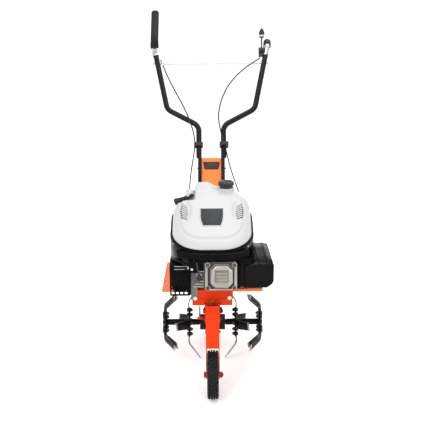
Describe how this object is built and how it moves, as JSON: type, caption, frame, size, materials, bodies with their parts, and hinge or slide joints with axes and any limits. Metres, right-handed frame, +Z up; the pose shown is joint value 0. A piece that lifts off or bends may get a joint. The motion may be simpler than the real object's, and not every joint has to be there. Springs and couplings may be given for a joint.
{
  "type": "petrol tiller",
  "caption": "Front-wheeled garden tiller: vertical-shaft petrol engine over a worm gearcase, four bladed rotors and two swept handle tubes with clutch and throttle levers.",
  "frame": {"origin": "on the ground under the middle of the whole machine", "axes": "+Z up, -Y towards the front wheel, +X towards the throttle side (the right side when seen from the front)"},
  "size_m": [0.5224, 1.3273, 1.1528],
  "materials": {
    "orange_paint": "gloss powder coat",
    "black_paint": "satin powder coat",
    "zinc_bolts": "yellow zinc",
    "steel": "satin",
    "grey_strip": "satin",
    "cast_iron": "painted dark",
    "engine_aluminium": "as cast",
    "cover_plastic": "gloss white",
    "black_plastic": "gloss black",
    "grey_plastic": "matte dark grey",
    "exhaust_black": "heat-proof black",
    "tyre_rubber": "matte",
    "grip_rubber": "ribbed",
    "cable_sheath": "satin sheath",
    "belt_rubber": "matte",
    "rim_plastic": "matte",
    "brass_wheel": "machined",
    "tank_plastic": "matte",
    "lever_coat": "dipped coating"
  },
  "bodies": {
    "chassis": {"deck": "orange_paint", "front_plate": "orange_paint", "arm_bracket": "orange_paint", "fenders": "orange_paint", "handle_bracket": "orange_paint", "frame_bolts": "zinc_bolts", "handle_bolts": "steel", "cross_rod": "steel", "clutch_bracket": "steel", "engine_bolts": "steel", "arm_spring": "steel", "gearcase_left": "cast_iron", "gearcase_right": "cast_iron", "drive_belt": "belt_rubber", "depth_bar_socket": "black_paint", "crankcase": "engine_aluminium", "cylinder_head": "engine_aluminium", "valve_cover": "engine_aluminium", "spark_plug": "black_plastic", "muffler": "exhaust_black", "muffler_guard": "exhaust_black", "muffler_strip": "grey_strip", "carburettor": "engine_aluminium", "air_filter_base": "black_plastic", "air_filter_cover": "black_plastic", "blower_shroud": "black_plastic", "engine_cover": "cover_plastic", "fuel_tank": "tank_plastic", "starter_housing": "exhaust_black", "handle_tube_left": "black_paint", "handle_tube_right": "black_paint", "grip_left": "grip_rubber", "grip_right": "grip_rubber", "throttle_housing": "grey_plastic", "clutch_cable": "cable_sheath", "throttle_cable": "cable_sheath", "cable_clips": "grey_plastic"},
    "wheel_arm": {"wheel_arm": "orange_paint", "wheel_axle_bolt": "steel"},
    "front_wheel": {"front_tyre": "tyre_rubber", "wheel_rim": "rim_plastic"},
    "tines": {"tine_shaft": "black_paint", "inner_blades": "black_paint", "outer_blades": "black_paint", "tine_hubs": "black_paint", "tine_bolts": "steel", "worm_wheel": "brass_wheel"},
    "worm": {"worm_shaft": "steel", "input_pulley": "cast_iron"},
    "crank": {"crankshaft": "steel", "flywheel": "cast_iron", "crank_pulley": "steel"},
    "idler": {"idler_arm": "steel", "idler_pulley": "black_plastic"},
    "clutch_lever": {"clutch_lever": "lever_coat"},
    "throttle_lever": {"throttle_lever": "grey_plastic"},
    "starter_handle": {"starter_handle": "grey_plastic"},
    "fuel_cap": {"fuel_cap": "grey_plastic"},
    "oil_filler_cap": {"oil_filler_cap": "grey_plastic"},
    "depth_bar": {"depth_bar": "black_paint"}
  },
  "joints": [
    {"name": "wheel_arm_fold", "type": "hinge", "parent": "chassis", "child": "wheel_arm", "pos_m": [0, -0.451, 0.248], "axis": [-1, 0, 0], "range_deg": [0, 50]},
    {"name": "front_wheel_spin", "type": "hinge", "parent": "wheel_arm", "child": "front_wheel", "pos_m": [0, -0.583, 0.08], "axis": [1, 0, 0], "continuous": true},
    {"name": "tine_spin", "type": "hinge", "parent": "chassis", "child": "tines", "pos_m": [0, -0.286, 0.13], "axis": [1, 0, 0], "continuous": true},
    {"name": "worm_spin", "type": "hinge", "parent": "chassis", "child": "worm", "pos_m": [0, -0.246, 0.2], "axis": [0, 0, 1], "continuous": true},
    {"name": "crank_spin", "type": "hinge", "parent": "chassis", "child": "crank", "pos_m": [0, -0.338, 0.4], "axis": [0, 0, 1], "continuous": true},
    {"name": "clutch_lever_press", "type": "hinge", "parent": "chassis", "child": "clutch_lever", "pos_m": [-0.232, 0.51033, 0.99697], "axis": [-1, 0, 0], "range_deg": [0, 47], "stiffness_Nm_per_rad": 0.6, "springref_deg": -28.65},
    {"name": "idler_swing", "type": "hinge", "parent": "chassis", "child": "idler", "pos_m": [-0.057, -0.226, 0.298], "axis": [0, 0, 1], "range_deg": [0, 5]},
    {"name": "throttle_turn", "type": "hinge", "parent": "chassis", "child": "throttle_lever", "pos_m": [0.213, 0.526, 0.988], "axis": [1, 0, 0], "range_deg": [-35, 35]},
    {"name": "starter_pull", "type": "slide", "parent": "chassis", "child": "starter_handle", "axis": [0, 0.8, 0.6], "range_m": [0, 0.35], "stiffness_N_per_m": 8, "springref_m": -0.15},
    {"name": "fuel_cap_turn", "type": "hinge", "parent": "chassis", "child": "fuel_cap", "pos_m": [0.051, -0.194, 0.61], "axis": [0, 0, 1], "range_deg": [0, 90]},
    {"name": "oil_cap_turn", "type": "hinge", "parent": "chassis", "child": "oil_filler_cap", "pos_m": [0.09, -0.262, 0.386], "axis": [0, 0, 1], "range_deg": [0, 90]},
    {"name": "depth_bar_slide", "type": "slide", "parent": "chassis", "child": "depth_bar", "axis": [0, 0, -1], "range_m": [0, 0.1]}
  ],
  "couplings": [
    {"joint": "worm_spin", "follows": "tine_spin", "ratio": 22},
    {"joint": "idler_swing", "follows": "clutch_lever_press", "ratio": 0.10638}
  ]
}
